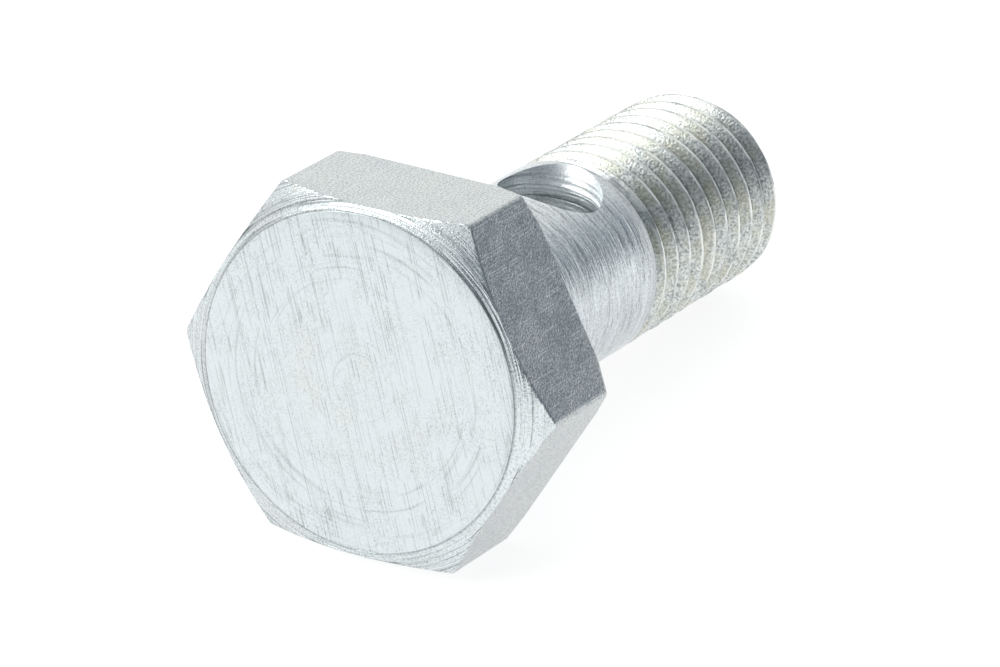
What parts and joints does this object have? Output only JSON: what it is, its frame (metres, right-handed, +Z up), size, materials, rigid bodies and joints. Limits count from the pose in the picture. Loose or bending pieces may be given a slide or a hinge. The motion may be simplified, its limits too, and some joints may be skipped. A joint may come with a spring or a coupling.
{
  "type": "fuel line bolt",
  "caption": "Hollow hexagon-head bolt for a fuel line banjo fitting: plain neck with a cross drilling, threaded end and a blind bore along the axis.",
  "frame": {"origin": "where the bolt's axis meets the bearing face under the head", "axes": "+X level, towards the thread end; +Z up; the bolt's axis leans down by 7.89 degrees from +X, as it lies at rest on a flat floor"},
  "size_m": [0.034, 0.0196, 0.0176],
  "materials": {
    "zinc_plated_steel": "bright zinc plating over turned steel"
  },
  "bodies": {
    "root": {"banjo_bolt": "zinc_plated_steel"}
  },
  "joints": []
}
